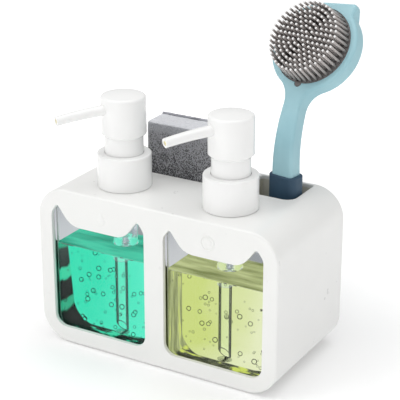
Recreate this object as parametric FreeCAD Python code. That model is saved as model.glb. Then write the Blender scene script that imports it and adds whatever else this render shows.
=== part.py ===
"""Countertop soap pump caddy: two windowed bottle bays with lotion pumps,
a sponge slot and a brush well behind them, with the sponge and the brush in place.

Millimetres, +Z up. The origin lies on the table under the middle of the housing,
the windows face -Y, and the sponge and the brush stand on the +Y side.
"""
import FreeCAD, Part
import math
import os

Vector = FreeCAD.Vector

# Housing
width = 180.0
depth = 94.0
height = 112.0
wall = 2.6
corner_radius = 21.0
front_edge_round = 1.6
back_edge_round = 1.0
foot_gap = 0.8
centre_rib = 2.4
shelf_rib = 2.0
shelf_rib_height = 1.0
shelf_rib_shares = (0.10, 0.45, 0.80)

# Windows, with a tab that hangs down between two ears
mullion = 14.6
window_margin = 10.7
window_sill = 11.2
window_corner_round = 8.4
window_edge_round = 0.5
tab_depth = 24.8
tab_corner_inset = 15.3
tab_corner_round = 14.0
ear_depth = 11.0
ear_inset = 4.7
ear_round = 1.4
ear_side_depth = 17.5
ear_side_round = 7.0

# Clearances, the tolerance of joined edges and the overrun of cuts
loose_gap = 0.3
seat_gap = 0.1
running_fit = 0.05
snug_fit = 0.02
join_tolerance = 0.002
overrun = 2.0

# Rear insert with the sponge slot and the brush well
panel = 2.4
panel_gap = 0.2
pocket_wall = 1.8
well_depth = 33.1
well_width = 39.0
well_side_share = 0.150
well_front_round = 7.0
well_back_round = 2.0
divider = 3.4
sponge_slot_stand = 32.3
brush_well_stand = 12.6
slot_lip_round = 0.8

# Screws of the rear insert
screw_head_radius = 3.2
screw_head_height = 2.0
screw_head_round = 0.8
screw_radius = 1.4
screw_length = 11.0
screw_drive_radius = 1.3
screw_drive_depth = 1.2
boss_radius = 4.0
boss_length = 14.0

# Non-slip pad under the housing
pad_length = 126.0
pad_width = 72.0
pad_round = 12.0
pad_recess = 0.8

# Bottles and soap
bottle_side_gap = 6.1
bottle_gap = 0.5
bottle_rib_gap = 4.1
bottle_top_gap = 8.4
bottle_wall = 1.6
bottle_corner_round = 14.0
bottle_foot_round = 6.0
bottle_shoulder_round = 7.0
bottle_edge_round = 4.5
neck_offset = 3.3
neck_radius = 13.6
neck_wall = 2.4
neck_stand = 14.0
soap_drop = 41.1
soap_gap = 0.1

# Pump: collar, gasket, sleeve
collar_wall = 4.1
collar_height = 23.0
collar_round = 1.2
collar_cap = 4.0
gasket_height = 1.0
flange_height = 1.5
sleeve_flange = 2.2
sleeve_radius = 12.7
sleeve_wall = 1.5
sleeve_overlap = 2.4
sleeve_edge_round = 0.5

# Pump: head and spout
head_wall = 1.85
head_height = 28.1
head_chamfer = 1.7
head_crown = 1.2
head_edge_round = 2.0
head_boss_wall = 2.9
spout_reach = 47.4
spout_drop = 9.3
spout_root = 10.0
spout_root_radius = 3.6
spout_tip_radius = 3.05
spout_bore = 1.7
spout_sag = 2.4
spout_stations = 7
left_spout_angle = 239.0
right_spout_angle = 241.0

# Pump: stem, piston, chamber, spring, ball, dip tube
press_stroke = 11.0
press_end_gap = 0.8
stem_radius = 3.6
stem_wall = 1.6
stem_flange = 1.2
stem_flange_height = 1.2
piston_height = 6.4
piston_lip = 1.8
piston_waist = 0.7
chamber_bore = 6.3
chamber_wall = 1.9
chamber_depth = 57.4
chamber_taper = 3.0
socket_wall = 1.05
socket_length = 6.6
spring_wire = 0.9
spring_gap = 0.85
spring_turns = 10
spring_sample_count = 30
seat_bore = 1.6
ball_radius = 2.4
ball_gap = 0.05
cage_height = 5.4
tube_radius = 4.5
tube_wall = 1.05
tube_grip = 7.0
tube_foot_gap = 2.4
tube_cut_angle = 30.0

# Sponge
sponge_width = 66.0
sponge_height = 112.0
foam_thickness = 20.2
scourer_thickness = 2.4
sponge_round = 2.5
sponge_front_gap = 1.0
sponge_right_gap = 2.8
sponge_left_gap = 4.8

# Brush
brush_from_right = 11.6
brush_from_front = 14.0
brush_turn = 10.0
handle_thickness = 11.4
handle_half_width = 9.2
neck_half_width = 6.6
neck_blend = 16.0
handle_bend_radius = 90.7
handle_bend_angle = 36.0
bend_height = 18.0
head_reach = 22.3
brush_head_radius = 30.8
through_share = 0.76
handle_edge_round = 2.4
scraper_start = 1.3
scraper_height = 1.9
scraper_side = 19.8
scraper_round = 3.0
scraper_notch_round = 2.5
scraper_edge = 4.5
scraper_bevel = 11.0
grip_lip = 1.3
grip_stand = 12.0
grip_round = 4.5
grip_end_round = 3.0
grip_top_round = 1.0
tang_width = 8.0
tang_thickness = 6.0
tang_length = 60.0
bristle_pad_radius = 26.6
bristle_pad_depth = 2.0
bristle_pad_tail = 2.6
bristle_length = 15.5
bristle_radius = 0.78
bristle_root_ring = 25.2
bristle_tip_ring = 23.6
bristle_rings = 7
bristles_per_ring = 6

# Places that follow from the sizes above
front = -depth / 2
back = depth / 2
deck_under = height - wall
floor_top = foot_gap + wall
inner_radius = corner_radius - wall
panel_front = back - panel
slot_front = panel_front - well_depth
boss_reach = (inner_radius - screw_head_radius - loose_gap) * math.sqrt(0.5)
boss_x = width / 2 - corner_radius + boss_reach
side_room = width / 2 - boss_x + boss_radius + pocket_wall + loose_gap
sponge_slot_width = sponge_left_gap + sponge_width + sponge_right_gap
spare_width = width - 2 * side_room - sponge_slot_width - divider - well_width
well_right = width / 2 - side_room - well_side_share * spare_width
well_left = well_right - well_width
slot_right = well_left - divider
slot_left = slot_right - sponge_slot_width
sponge_floor = floor_top + sponge_slot_stand
brush_floor = floor_top + brush_well_stand
bottle_front = front + wall + bottle_gap
bottle_back = slot_front - pocket_wall - bottle_gap
bottle_bottom = floor_top + shelf_rib_height
bottle_top = deck_under - bottle_top_gap
bottle_inside = centre_rib / 2 + bottle_rib_gap
bottle_outside = width / 2 - wall - bottle_side_gap
bottle_middle = (bottle_inside + bottle_outside) / 2
pump_x = bottle_middle - neck_offset
pump_y = (bottle_front + bottle_back) / 2
soap_level = height - soap_drop
neck_top = height + neck_stand
gasket_bottom = neck_top + seat_gap
flange_bottom = gasket_bottom + gasket_height
flange_top = flange_bottom + flange_height
sleeve_flange_top = flange_top + sleeve_flange
collar_bottom = height + loose_gap
collar_top = height + collar_height
neck_bore = neck_radius - neck_wall
collar_bore = neck_radius + loose_gap
collar_radius = collar_bore + collar_wall
sleeve_bore = sleeve_radius - sleeve_wall
head_bore = sleeve_radius + loose_gap
head_radius = head_bore + head_wall
stem_bore = stem_radius - stem_wall
stem_flange_radius = stem_radius + stem_flange
head_boss_radius = stem_radius + head_boss_wall
chamber_radius = chamber_bore + chamber_wall
tube_bore = tube_radius - tube_wall
socket_radius = tube_radius + socket_wall
spring_radius = chamber_bore - spring_gap - spring_wire / 2
head_bottom = collar_top + press_stroke + press_end_gap
head_top = head_bottom + head_height
spout_z = head_top - spout_drop
stem_top = spout_z - stem_bore
sleeve_top = head_bottom + sleeve_overlap
flange_radius = neck_radius - seat_gap
chamber_bottom = flange_bottom - chamber_depth
socket_top = chamber_bottom - chamber_taper
socket_bottom = socket_top - socket_length
piston_top = flange_top - loose_gap - stem_flange_height - seat_gap
piston_bottom = piston_top - piston_height
stem_foot = piston_bottom - seat_gap - stem_flange_height
ball_z = chamber_bottom + math.sqrt((ball_radius + ball_gap) ** 2 - seat_bore ** 2)
spring_bottom = chamber_bottom + cage_height

# The brush is built facing -Y with its handle on the Z axis, then turned and moved into the well
grip_top = height + grip_stand
bend_start = height + bend_height
bend = math.radians(handle_bend_angle)
head_y = handle_bend_radius * (1 - math.cos(bend)) + head_reach * math.sin(bend)
head_z = bend_start + handle_bend_radius * math.sin(bend) + head_reach * math.cos(bend)
face_up = Vector(0, math.sin(bend), math.cos(bend))
face_out = Vector(0, -math.cos(bend), math.sin(bend))
blend_x = neck_half_width + neck_blend
blend_y = -math.sqrt((brush_head_radius + neck_blend) ** 2 - blend_x ** 2)
blend_angle = math.atan2(blend_x, blend_y)


def box(x0, x1, y0, y1, z0, z1):
    return Part.makeBox(x1 - x0, y1 - y0, z1 - z0, Vector(x0, y0, z0))


def post(radius, z0, z1):
    return Part.makeCylinder(radius, z1 - z0, Vector(0, 0, z0))


def ring(outer, inner, z0, z1):
    return post(outer, z0, z1).cut(post(inner, z0 - overrun, z1 + overrun))


def fused(shapes):
    whole = shapes[0].multiFuse(shapes[1:]) if len(shapes) > 1 else shapes[0]
    return whole.removeSplitter()


def corner_round(corners, index):
    """Start, middle and end of the round at one corner (a, b, round) of an outline."""
    a, b, radius = corners[index]
    here = Vector(a, b, 0)
    if not radius:
        return [here]
    before = Vector(*corners[index - 1][:2], 0) - here
    after = Vector(*corners[(index + 1) % len(corners)][:2], 0) - here
    before.normalize()
    after.normalize()
    half = before.getAngle(after) / 2
    run = radius / math.tan(half)
    inward = (before + after).normalize()
    middle = here + inward * (radius / math.sin(half) - radius)
    return [here + before * run, middle, here + after * run]


def rounded_wire(corners, place):
    """Closed wire through corners (a, b, round), set in space by place(a, b)."""
    rounds = [corner_round(corners, index) for index in range(len(corners))]
    edges = []
    for here, following in zip(rounds, rounds[1:] + rounds[:1]):
        points = [place(point.x, point.y) for point in here]
        if len(points) > 1:
            edges.append(Part.Arc(*points).toShape())
        line_end = place(following[0].x, following[0].y)
        if (line_end - points[-1]).Length > join_tolerance:
            edges.append(Part.LineSegment(points[-1], line_end).toShape())
    return Part.Wire(edges)


def on_floor(a, b):
    return Vector(a, b, 0)


def on_front(a, b):
    return Vector(a, 0, b)


def prism_up(corners, z0, z1):
    face = Part.Face(rounded_wire(corners, on_floor))
    return face.extrude(Vector(0, 0, z1 - z0)).translated(Vector(0, 0, z0))


def prism_back(corners, y0, y1):
    face = Part.Face(rounded_wire(corners, on_front))
    return face.extrude(Vector(0, y1 - y0, 0)).translated(Vector(0, y0, 0))


def rectangle(a0, a1, b0, b1, radius):
    return [(a0, b0, radius), (a1, b0, radius), (a1, b1, radius), (a0, b1, radius)]


def turned(corners):
    """Solid of revolution about Z of a rounded outline in (radius, z)."""
    face = Part.Face(rounded_wire(corners, on_front))
    return face.revolve(Vector(0, 0, 0), Vector(0, 0, 1), 360)


def edges_at(shape, axis, value):
    low, high = axis + "Min", axis + "Max"
    return [edge for edge in shape.Edges
            if abs(getattr(edge.BoundBox, low) - value) < snug_fit
            and abs(getattr(edge.BoundBox, high) - value) < snug_fit]


def at_pump(shape, side):
    return shape.translated(Vector(side * pump_x, pump_y, 0))


def shell_outline(inset):
    reach = width / 2 - inset
    return rectangle(-reach, reach, foot_gap + inset, height - inset, corner_radius - inset)


def window_outline(side):
    half = (width / 2 - window_margin - mullion / 2) / 2
    middle = side * (mullion / 2 + half)
    right = [(half, foot_gap + window_sill, window_corner_round),
             (half, height - ear_side_depth, ear_side_round),
             (half - ear_inset, height - ear_depth, ear_round),
             (half - tab_corner_inset, height - tab_depth, tab_corner_round)]
    left = [(-a, b, radius) for a, b, radius in reversed(right)]
    return [(middle + a, b, radius) for a, b, radius in right + left]


def slot_outline(x0, x1, y1, corner):
    return [(x0, slot_front, corner), (x1, slot_front, corner),
            (x1, y1, well_back_round), (x0, y1, well_back_round)]


def sponge_slot_outline():
    return slot_outline(slot_left, slot_right, panel_front, well_back_round)


def brush_well_outline():
    return slot_outline(well_left, well_right, panel_front, well_front_round)


def boss_places():
    low = foot_gap + corner_radius - boss_reach
    high = height - corner_radius + boss_reach
    return [(side * boss_x, z) for side in (-1, 1) for z in (low, high)]


def along_y(radius, x, z, y0, y1):
    return Part.makeCylinder(radius, y1 - y0, Vector(x, y0, z), Vector(0, 1, 0))


def housing_shell():
    outer = prism_back(shell_outline(0), front, back)
    outer = outer.makeFillet(front_edge_round, edges_at(outer, "Y", front))
    outer = outer.makeFillet(back_edge_round, edges_at(outer, "Y", back))
    return outer.cut(prism_back(shell_outline(wall), front + wall, back + overrun))


def housing_ribs():
    """The rib between the bays, and the low ribs that the bottles stand on."""
    y0 = front + wall / 2
    z0 = floor_top - wall / 2
    ribs = [box(-centre_rib / 2, centre_rib / 2, y0, bottle_back, z0, deck_under + wall / 2)]
    for side in (-1, 1):
        for share in shelf_rib_shares:
            x = side * (bottle_inside + share * (bottle_outside - bottle_inside))
            ribs.append(box(x - shelf_rib / 2, x + shelf_rib / 2, y0, bottle_back, z0, bottle_bottom))
    return ribs


def housing_bosses():
    y1 = panel_front - panel_gap
    inside = prism_back(shell_outline(wall / 2), front, back)
    return [along_y(boss_radius, x, z, y1 - boss_length, y1).common(inside) for x, z in boss_places()]


def pad_outline(clearance):
    x = pad_length / 2 + clearance
    y = pad_width / 2 + clearance
    return rectangle(-x, x, -y, y, pad_round)


def housing_cuts():
    """Windows, neck holes, the mouths of the slot and the well, screw holes, pad recess."""
    cuts = []
    for side in (-1, 1):
        cuts.append(prism_back(window_outline(side), front - overrun, front + wall + overrun / 2))
        cuts.append(at_pump(post(collar_bore, deck_under - overrun, height + overrun), side))
    for outline in (sponge_slot_outline(), brush_well_outline()):
        cuts.append(prism_up(outline, deck_under - overrun, height + overrun))
    for x, z in boss_places():
        cuts.append(along_y(screw_radius + running_fit, x, z, panel_front - screw_length, panel_front))
    cuts.append(prism_up(pad_outline(loose_gap), foot_gap - overrun, foot_gap + pad_recess))
    return Part.makeCompound(cuts)


def make_housing():
    body = fused([housing_shell()] + housing_ribs() + housing_bosses()).cut(housing_cuts())
    lips = [edge for edge in edges_at(body, "Z", height)
            if edge.BoundBox.YMin > slot_front - snug_fit and edge.BoundBox.YMax < back - panel / 2]
    body = body.makeFillet(slot_lip_round, lips)
    rims = [edge for edge in edges_at(body, "Y", front)
            if edge.BoundBox.ZMin > foot_gap + window_sill - snug_fit
            and edge.BoundBox.ZMax < height - ear_depth + snug_fit]
    return body.makeFillet(window_edge_round, rims)


def pocket_block(x0, x1, floor):
    """Solid block round a slot, with its walls and its floor."""
    return box(x0 - pocket_wall, x1 + pocket_wall, slot_front - pocket_wall, panel_front,
               floor - pocket_wall, deck_under - panel_gap)


def make_rear_insert():
    plate = prism_back(shell_outline(wall + panel_gap), panel_front, back - back_edge_round)
    blocks = [pocket_block(slot_left, slot_right, sponge_floor),
              pocket_block(well_left, well_right, brush_floor)]
    cuts = [prism_up(sponge_slot_outline(), sponge_floor, height),
            prism_up(brush_well_outline(), brush_floor, height)]
    for x, z in boss_places():
        cuts.append(along_y(screw_radius + loose_gap, x, z, panel_front - overrun, back + overrun))
    return fused([plate] + blocks).cut(Part.makeCompound(cuts))


def make_screw(x, z):
    head_front = back - back_edge_round
    head = [(0, 0, 0), (screw_head_radius, 0, 0),
            (screw_head_radius, screw_head_height, screw_head_round), (0, screw_head_height, 0)]
    body = turned(head).fuse(post(screw_radius, -screw_length, 0)).removeSplitter()
    drive = post(screw_drive_radius, screw_head_height - screw_drive_depth, screw_head_height + overrun)
    body = body.cut(drive)
    body.rotate(Vector(0, 0, 0), Vector(1, 0, 0), -90)
    return body.translated(Vector(x, head_front, z))


def make_screws():
    return Part.makeCompound([make_screw(x, z) for x, z in boss_places()])


def make_base_pad():
    return prism_up(pad_outline(0), 0, foot_gap + pad_recess)


def bottle_form(side, inset):
    """Bottle without its neck, or its inside: a front outline with rounded front and back edges.

    The lower corner on the outer side follows the round corner of the housing.
    """
    inside, outside = side * (bottle_inside + inset), side * (bottle_outside - inset)
    low, high = bottle_bottom + inset, bottle_top - inset
    outline = [(inside, low, bottle_foot_round - inset), (outside, low, bottle_corner_round - inset),
               (outside, high, bottle_shoulder_round - inset), (inside, high, bottle_shoulder_round - inset)]
    y0, y1 = bottle_front + inset, bottle_back - inset
    form = prism_back(outline, y0, y1)
    return form.makeFillet(bottle_edge_round - inset, edges_at(form, "Y", y0) + edges_at(form, "Y", y1))


def make_bottle(side):
    inner_top = bottle_top - bottle_wall
    neck = at_pump(post(neck_radius, inner_top - bottle_wall / 2, neck_top), side)
    bore = at_pump(post(neck_bore, inner_top - bottle_wall, neck_top + overrun), side)
    outer = fused([bottle_form(side, 0), neck])
    return outer.cut(Part.makeCompound([bottle_form(side, bottle_wall), bore]))


def make_soap(side):
    above = box(-width, width, -depth, depth, soap_level, neck_top)
    form = bottle_form(side, bottle_wall + soap_gap)
    return form.cut(above).cut(at_pump(dip_space(), side))


def dip_space():
    """Room that the dip tube, its socket and the chamber take in the soap."""
    tube = tube_radius + loose_gap
    socket = socket_radius + loose_gap
    chamber = chamber_radius + loose_gap
    return turned([(0, bottle_bottom, 0), (tube, bottle_bottom, 0), (tube, socket_bottom - loose_gap, 0),
                   (socket, socket_bottom - loose_gap, 0), (socket, socket_top - loose_gap, 0),
                   (chamber, chamber_bottom - loose_gap, 0), (chamber, neck_top, 0), (0, neck_top, 0)])


def make_collar():
    return turned([(collar_bore, collar_bottom, 0), (collar_radius, collar_bottom, 0),
                   (collar_radius, collar_top, collar_round), (head_bore, collar_top, 0),
                   (head_bore, collar_top - collar_cap, 0),
                   (collar_bore, collar_top - collar_cap, 0)])


def make_gasket():
    return ring(flange_radius, neck_bore, gasket_bottom, flange_bottom)


def make_sleeve():
    inner = stem_radius + running_fit
    return turned([(inner, flange_top, 0), (flange_radius, flange_top, 0),
                   (flange_radius, sleeve_flange_top, 0), (sleeve_radius, sleeve_flange_top, 0),
                   (sleeve_radius, sleeve_top, sleeve_edge_round),
                   (sleeve_bore, sleeve_top, sleeve_edge_round),
                   (sleeve_bore, sleeve_flange_top, 0), (inner, sleeve_flange_top, 0)])


def head_body():
    """Head without its spout: a skirt over the sleeve, and a boss that holds the stem."""
    cavity_top = sleeve_top + press_stroke + press_end_gap
    boss_bottom = sleeve_flange_top + press_stroke + press_end_gap
    socket = stem_radius + snug_fit
    body = turned([(stem_bore, spout_z, 0), (stem_bore, stem_top, 0), (socket, stem_top, 0),
                   (socket, boss_bottom, 0), (head_boss_radius, boss_bottom, 0),
                   (head_boss_radius, cavity_top, 0), (head_bore, cavity_top, 0), (head_bore, head_bottom, 0),
                   (head_radius - head_chamfer, head_bottom, 0),
                   (head_radius, head_bottom + head_chamfer, 0), (head_radius, head_top, 0),
                   (0, head_top, 0), (0, spout_z, 0)])
    crown_radius = (head_radius ** 2 + head_crown ** 2) / (2 * head_crown)
    body = body.common(Part.makeSphere(crown_radius, Vector(0, 0, head_top - crown_radius)))
    return body.makeFillet(head_edge_round, edges_at(body, "Z", head_top - head_crown))


def make_head(angle):
    spout = spout_loft(spout_root_radius, spout_tip_radius, spout_root, spout_reach)
    bore = spout_loft(spout_bore, spout_bore, 0, spout_reach + overrun)
    head = head_body().fuse(spout).removeSplitter().cut(bore)
    head.rotate(Vector(0, 0, 0), Vector(0, 0, 1), angle)
    return head


def spout_loft(root_radius, tip_radius, start, end):
    """Tapered tube along +X that sags on a circle from the root to the tip."""
    run = spout_reach - spout_root
    sag_radius = (run ** 2 + spout_sag ** 2) / (2 * spout_sag)
    sections = []
    for index in range(spout_stations):
        share = index / (spout_stations - 1)
        x = start + share * (end - start)
        slope = math.asin(max(x - spout_root, 0) / sag_radius)
        z = spout_z - sag_radius * (1 - math.cos(slope))
        radius = root_radius + share * (tip_radius - root_radius)
        circle = Part.Circle(Vector(x, 0, z), Vector(math.cos(slope), 0, -math.sin(slope)), radius)
        sections.append(Part.Wire(circle.toShape()))
    return Part.makeLoft(sections, True, False)


def make_stem():
    under = stem_foot + stem_flange_height
    over = piston_top + seat_gap
    return turned([(stem_bore, stem_foot, 0), (stem_flange_radius, stem_foot, 0),
                   (stem_flange_radius, under, 0), (stem_radius, under, 0), (stem_radius, over, 0),
                   (stem_flange_radius, over, 0), (stem_flange_radius, over + stem_flange_height, 0),
                   (stem_radius, over + stem_flange_height, 0), (stem_radius, stem_top, 0),
                   (stem_bore, stem_top, 0)])


def make_piston():
    outer = chamber_bore - running_fit
    inner = stem_radius + running_fit
    waist = outer - piston_waist
    low_lip = piston_bottom + piston_lip
    high_lip = piston_top - piston_lip
    return turned([(inner, piston_bottom, 0), (outer, piston_bottom, 0), (outer, low_lip, 0),
                   (waist, low_lip, 0), (waist, high_lip, 0), (outer, high_lip, 0),
                   (outer, piston_top, 0), (inner, piston_top, 0)])


def make_chamber():
    """Pump barrel: flange on the neck, inlet seat, ball cage and tube socket."""
    seat = chamber_bottom
    cage_bore = ball_radius + loose_gap
    cage_top = seat + cage_height
    tube_hole = tube_radius + snug_fit
    return turned([(chamber_bore, flange_top, 0), (flange_radius, flange_top, 0),
                   (flange_radius, flange_bottom, 0), (chamber_radius, flange_bottom, 0),
                   (chamber_radius, seat, 0), (socket_radius, socket_top, 0),
                   (socket_radius, socket_bottom, 0), (tube_hole, socket_bottom, 0),
                   (tube_hole, socket_bottom + tube_grip, 0), (seat_bore, socket_bottom + tube_grip, 0),
                   (seat_bore, seat, 0), (cage_bore, seat, 0), (cage_bore, cage_top, 0),
                   (chamber_bore, cage_top, 0)])


def helix_point(radius, pitch, z0, turns):
    angle = 2 * math.pi * turns
    return Vector(radius * math.cos(angle), radius * math.sin(angle), z0 + pitch * turns)


def helix_tangent(radius, pitch, turns):
    angle = 2 * math.pi * turns
    rise = pitch / (2 * math.pi)
    tangent = Vector(-radius * math.sin(angle), radius * math.cos(angle), rise)
    return tangent.normalize()


def arc_from(start, tangent, end):
    """Circular arc that leaves start along tangent and ends at end."""
    chord = end - start
    normal = chord - tangent * chord.dot(tangent)
    normal.normalize()
    radius = chord.dot(chord) / (2 * chord.dot(normal))
    centre = start + normal * radius
    middle = (start - centre) + (end - centre)
    middle.normalize()
    return Part.Arc(start, centre + middle * radius, end).toShape()


def biarc(start, tangent, end, end_tangent):
    """Two tangent arcs between two points with given directions."""
    chord = end - start
    both = tangent + end_tangent
    a = 2 * (1 - tangent.dot(end_tangent))
    b = 2 * chord.dot(both)
    c = -chord.dot(chord)
    reach = (-b + math.sqrt(b * b - 4 * a * c)) / (2 * a)
    middle = (start + tangent * reach + end - end_tangent * reach) * 0.5
    return [arc_from(start, tangent, middle), arc_from(end, end_tangent * -1, middle)]


def least_gap(path):
    """Least gap, on points, between stretches of the wire at least half a turn apart."""
    points = path.discretize(Number=spring_turns * spring_sample_count + 1)
    apart = spring_sample_count // 2
    return min(points[i].distanceToPoint(points[j])
               for i in range(len(points)) for j in range(i + apart, len(points))) - spring_wire


def make_spring():
    """Return spring: one wire wound between the ball cage and the stem foot."""
    low = spring_bottom + spring_wire / 2 + seat_gap
    high = stem_foot - spring_wire / 2 - seat_gap
    pitch = (high - low) / spring_turns
    edges = []
    for index in range(2 * spring_turns):
        t0, t1 = index / 2, (index + 1) / 2
        edges += biarc(helix_point(spring_radius, pitch, low, t0), helix_tangent(spring_radius, pitch, t0),
                       helix_point(spring_radius, pitch, low, t1), helix_tangent(spring_radius, pitch, t1))
    path = Part.Wire(Part.__sortEdges__(edges))
    section = Part.Circle(helix_point(spring_radius, pitch, low, 0),
                          helix_tangent(spring_radius, pitch, 0), spring_wire / 2)
    print("spring: least gap between turns %.2f mm, length %.1f mm" % (least_gap(path), path.Length))
    return path.makePipeShell([Part.Wire(section.toShape())], True, False)


def make_ball():
    return Part.makeSphere(ball_radius, Vector(0, 0, ball_z))


def make_dip_tube():
    foot = bottle_bottom + bottle_wall + tube_foot_gap
    tube = ring(tube_radius, tube_bore, foot, socket_bottom + tube_grip)
    reach = 2 * tube_radius
    slant = box(-reach, reach, -reach, reach, -2 * reach, 0)
    slant.rotate(Vector(0, 0, 0), Vector(0, 1, 0), tube_cut_angle)
    raised = foot + tube_radius * math.tan(math.radians(tube_cut_angle))
    return tube.cut(slant.translated(Vector(0, 0, raised)))


def sponge_block(y0, y1):
    right = slot_right - sponge_right_gap
    low = sponge_floor + loose_gap
    return prism_back(rectangle(right - sponge_width, right, low, low + sponge_height, sponge_round), y0, y1)


def make_foam():
    y0 = slot_front + sponge_front_gap
    block = sponge_block(y0, y0 + foam_thickness)
    return block.makeFillet(sponge_round, edges_at(block, "Y", y0))


def make_scourer():
    y0 = slot_front + sponge_front_gap + foam_thickness
    return sponge_block(y0, y0 + scourer_thickness)


def on_head(a, b):
    return Vector(a, head_y, head_z) + face_up * b


def in_well(shape):
    shape.rotate(Vector(0, 0, 0), Vector(0, 0, 1), -brush_turn)
    return shape.translated(Vector(well_right - brush_from_right, slot_front + brush_from_front, 0))


def bend_point(offset, angle):
    radius = handle_bend_radius - offset
    return Vector(0, handle_bend_radius - radius * math.cos(angle), bend_start + radius * math.sin(angle))


def lines(*points):
    """Straight edges from each point to the next."""
    return [Part.LineSegment(tail, tip).toShape() for tail, tip in zip(points, points[1:])]


def bend_arc(offset):
    return Part.Arc(*[bend_point(offset, angle) for angle in (0, bend / 2, bend)]).toShape()


def handle_band():
    """Side profile of the handle: upright, bent back, then straight through the head."""
    half = handle_thickness / 2
    rise = face_up * (head_reach + brush_head_radius + scraper_height + overrun)
    edges = lines(Vector(0, -half, grip_top), bend_point(-half, 0)) + [bend_arc(-half)]
    edges += lines(bend_point(-half, bend), bend_point(-half, bend) + rise,
                   bend_point(half, bend) + rise, bend_point(half, bend))
    edges += [bend_arc(half)]
    edges += lines(bend_point(half, 0), Vector(0, half, grip_top), Vector(0, -half, grip_top))
    reach = brush_head_radius + overrun
    face = Part.Face(Part.Wire(edges))
    return face.extrude(Vector(2 * reach, 0, 0)).translated(Vector(-reach, 0, 0))


def rim_point(angle):
    """Point on the rim of the brush head, at an angle from its top."""
    return on_head(brush_head_radius * math.sin(angle), brush_head_radius * math.cos(angle))


def rim_arc(start, end):
    return [Part.Arc(*[rim_point(angle) for angle in (start, (start + end) / 2, end)]).toShape()]


def neck_arc(side):
    """Round between the neck and the head on one side."""
    to_head = Vector(-blend_x, -blend_y, 0).normalize()
    middle = (to_head + Vector(-1, 0, 0)).normalize() * neck_blend
    return [Part.Arc(on_head(side * neck_half_width, blend_y),
                     on_head(side * (blend_x + middle.x), blend_y + middle.y),
                     rim_point(side * blend_angle)).toShape()]


def scraper_edges(start, end):
    """Scraper corner on the head: a straight top, a round and a straight side."""
    top = brush_head_radius + scraper_height
    inset = scraper_round * (1 - math.sqrt(0.5))
    corner = [on_head(scraper_side - scraper_round, top), on_head(scraper_side - inset, top - inset),
              on_head(scraper_side, top - scraper_round)]
    return (lines(rim_point(start), corner[0]) + [Part.Arc(*corner).toShape()]
            + lines(corner[2], rim_point(end)))


def handle_outline():
    """Front view of the handle: round head with a scraper corner, blended into the neck."""
    low = (grip_top - head_z - handle_thickness) / math.cos(bend)
    scraper_left = math.atan2(-scraper_start, brush_head_radius)
    scraper_right = math.asin(scraper_side / brush_head_radius)
    right_foot, left_foot = [on_head(side * handle_half_width, low) for side in (1, -1)]
    right_neck, left_neck = [on_head(side * neck_half_width, blend_y) for side in (1, -1)]
    edges = lines(right_foot, left_foot, left_neck) + neck_arc(-1) + rim_arc(-blend_angle, scraper_left)
    edges += scraper_edges(scraper_left, scraper_right)
    edges += rim_arc(scraper_right, blend_angle) + neck_arc(1) + lines(right_neck, right_foot)
    face = Part.Face(Part.Wire(edges))
    return face.extrude(face_out * (2 * head_z)).translated(face_out * -head_z)


def scraper_wedge():
    """What the bevel behind the scraper takes off the back of the head."""
    behind = handle_thickness / 2
    low = brush_head_radius + scraper_height - scraper_bevel
    high = brush_head_radius + scraper_height + overrun
    depth_taken = (handle_thickness - scraper_edge) * (high - low) / scraper_bevel
    corners = [on_head(0, low) - face_out * behind, on_head(0, high) - face_out * behind,
               on_head(0, high) - face_out * (behind - depth_taken)]
    face = Part.Face(Part.makePolygon(corners + corners[:1]))
    reach = brush_head_radius + overrun
    return face.extrude(Vector(2 * reach, 0, 0)).translated(Vector(-reach, 0, 0))


def runs_through(edge):
    """True for an edge that runs through the handle from its front to its back."""
    along = edge.tangentAt(edge.FirstParameter).dot(face_out)
    return abs(along) > through_share


def bristle_bed(clearance, extra):
    """Disc and small round tail that the bristles stand on, or the recess for them."""
    base = on_head(0, 0) + face_out * (handle_thickness / 2 - bristle_pad_depth)
    disc = Part.makeCylinder(bristle_pad_radius + clearance, bristle_pad_depth + extra, base, face_out)
    tail_base = base - face_up * bristle_pad_radius
    tail = Part.makeCylinder(bristle_pad_tail + clearance, bristle_pad_depth + extra, tail_base, face_out)
    return disc.fuse(tail)


def make_brush_handle():
    body = handle_band().common(handle_outline())
    corner = Part.Vertex(rim_point(math.asin(scraper_side / brush_head_radius)))
    notch = [edge for edge in body.Edges
             if runs_through(edge) and edge.distToShape(corner)[0] < snug_fit]
    body = body.makeFillet(scraper_notch_round, notch)
    rims = [edge for edge in body.Edges
            if edge.BoundBox.ZMax > grip_top + snug_fit and not runs_through(edge)
            and abs(edge.BoundBox.Center.x) > snug_fit]
    body = body.makeFillet(handle_edge_round, rims)
    body = body.cut(scraper_wedge()).cut(bristle_bed(seat_gap, overrun))
    tang = box(-tang_width / 2, tang_width / 2, -tang_thickness / 2, tang_thickness / 2,
               grip_top - tang_length, grip_top)
    return in_well(body.fuse(tang).removeSplitter())


def make_bristles():
    middle = on_head(0, 0) + face_out * (handle_thickness / 2)
    bristles = []
    for index in range(bristle_rings + 1):
        share = index / bristle_rings
        count = max(bristles_per_ring * index, 1)
        for step in range(count):
            angle = 2 * math.pi * step / count
            across = Vector(math.cos(angle), 0, 0) + face_up * math.sin(angle)
            root = middle - face_out * (bristle_pad_depth / 2) + across * (bristle_root_ring * share)
            tip = middle + face_out * bristle_length + across * (bristle_tip_ring * share)
            bristles.append(Part.makeCylinder(bristle_radius, (tip - root).Length, root, tip - root))
    return in_well(bristle_bed(0, 0).multiFuse(bristles).removeSplitter())


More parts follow.
